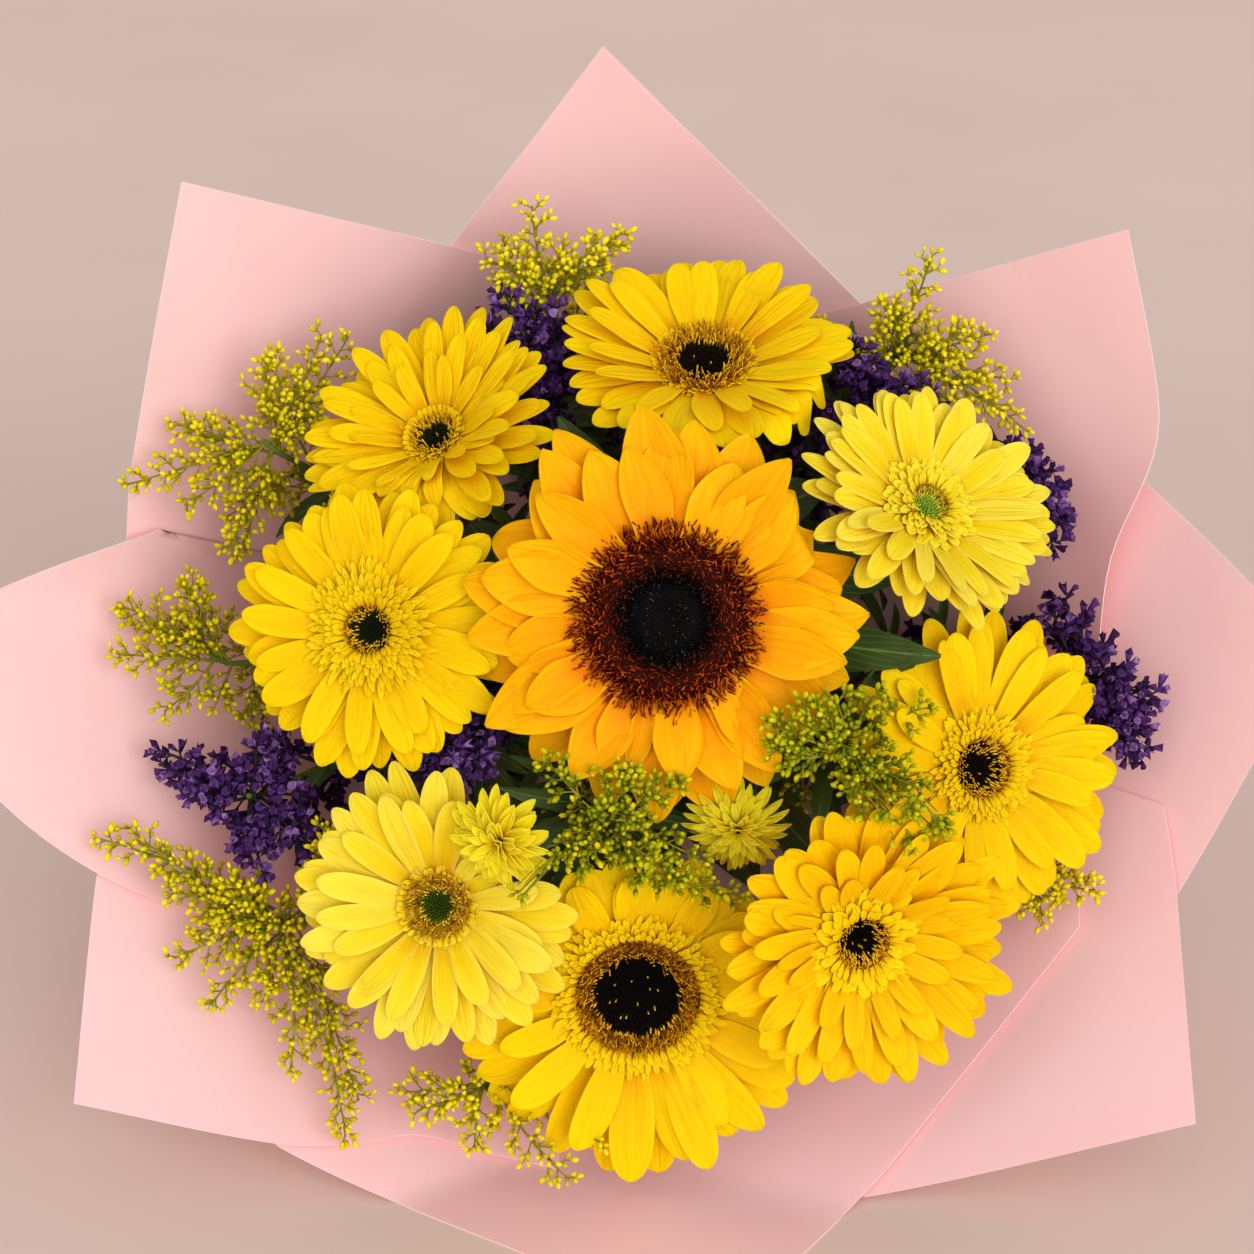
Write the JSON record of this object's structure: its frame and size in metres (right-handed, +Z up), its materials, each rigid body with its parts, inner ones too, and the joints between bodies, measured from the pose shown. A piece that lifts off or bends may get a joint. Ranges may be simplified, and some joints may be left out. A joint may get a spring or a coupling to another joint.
{
  "type": "flower bouquet",
  "caption": "Hand-tied bunch of yellow sunflowers and gerberas with goldenrod and statice, wrapped in flared sheets of pink paper, lying on its side with its blooms raised.",
  "frame": {"origin": "middle of the bounding box's underside, on the surface that the bunch lies on", "axes": "+X to the right as the blooms are seen, +Z up from the surface; the blooms face -Y and upward, and the cut stems point to +Y"},
  "size_m": [0.5566, 0.5454, 0.408],
  "materials": {
    "sunflower_petal": "soft satin petal, deep yellow",
    "sunflower_disc": "matte, red-brown florets",
    "sunflower_eye": "matte, near black",
    "stem": "matte green stem and leaf",
    "yellow_petal": "soft satin petal, rich yellow",
    "orange_petal": "soft satin petal, orange yellow",
    "pale_petal": "soft satin petal, pale yellow",
    "dark_eye": "matte, dark brown florets",
    "green_eye": "matte, olive green florets",
    "goldenrod": "matte, yellow-green buds",
    "statice": "matte, blue-violet calyces",
    "paper": "matte, pale pink wrapping paper",
    "twine": "matte, natural twine"
  },
  "bodies": {
    "root": {"sunflower_petals": "sunflower_petal", "sunflower_disc": "sunflower_disc", "sunflower_eye": "sunflower_eye", "sunflower_stem": "stem", "gerbera_a_petals": "yellow_petal", "gerbera_a_eye": "dark_eye", "gerbera_a_stem": "stem", "gerbera_b_petals": "yellow_petal", "gerbera_b_eye": "green_eye", "gerbera_b_stem": "stem", "gerbera_c_petals": "yellow_petal", "gerbera_c_eye": "dark_eye", "gerbera_c_stem": "stem", "gerbera_d_petals": "pale_petal", "gerbera_d_eye": "green_eye", "gerbera_d_stem": "stem", "gerbera_e_petals": "yellow_petal", "gerbera_e_eye": "dark_eye", "gerbera_e_stem": "stem", "gerbera_f_petals": "orange_petal", "gerbera_f_eye": "dark_eye", "gerbera_f_stem": "stem", "gerbera_g_petals": "yellow_petal", "gerbera_g_eye": "dark_eye", "gerbera_g_stem": "stem", "gerbera_h_petals": "pale_petal", "gerbera_h_eye": "green_eye", "gerbera_h_stem": "stem", "mum_right_head": "pale_petal", "mum_right_stem": "stem", "mum_left_head": "pale_petal", "mum_left_stem": "stem", "goldenrod_top": "goldenrod", "goldenrod_top_right": "goldenrod", "goldenrod_left_high": "goldenrod", "goldenrod_left": "goldenrod", "goldenrod_low_left": "goldenrod", "goldenrod_bottom": "goldenrod", "goldenrod_middle": "goldenrod", "goldenrod_right": "goldenrod", "goldenrod_low_right": "goldenrod", "statice_top": "statice", "statice_top_right": "statice", "statice_right_high": "statice", "statice_right": "statice", "statice_left": "statice", "statice_middle": "statice", "paper_left": "paper", "paper_upper_left": "paper", "paper_lower_left": "paper", "paper_upper_right": "paper", "paper_top": "paper", "paper_bottom": "paper", "paper_lower_right": "paper", "paper_right": "paper", "tie": "twine"}
  },
  "joints": []
}
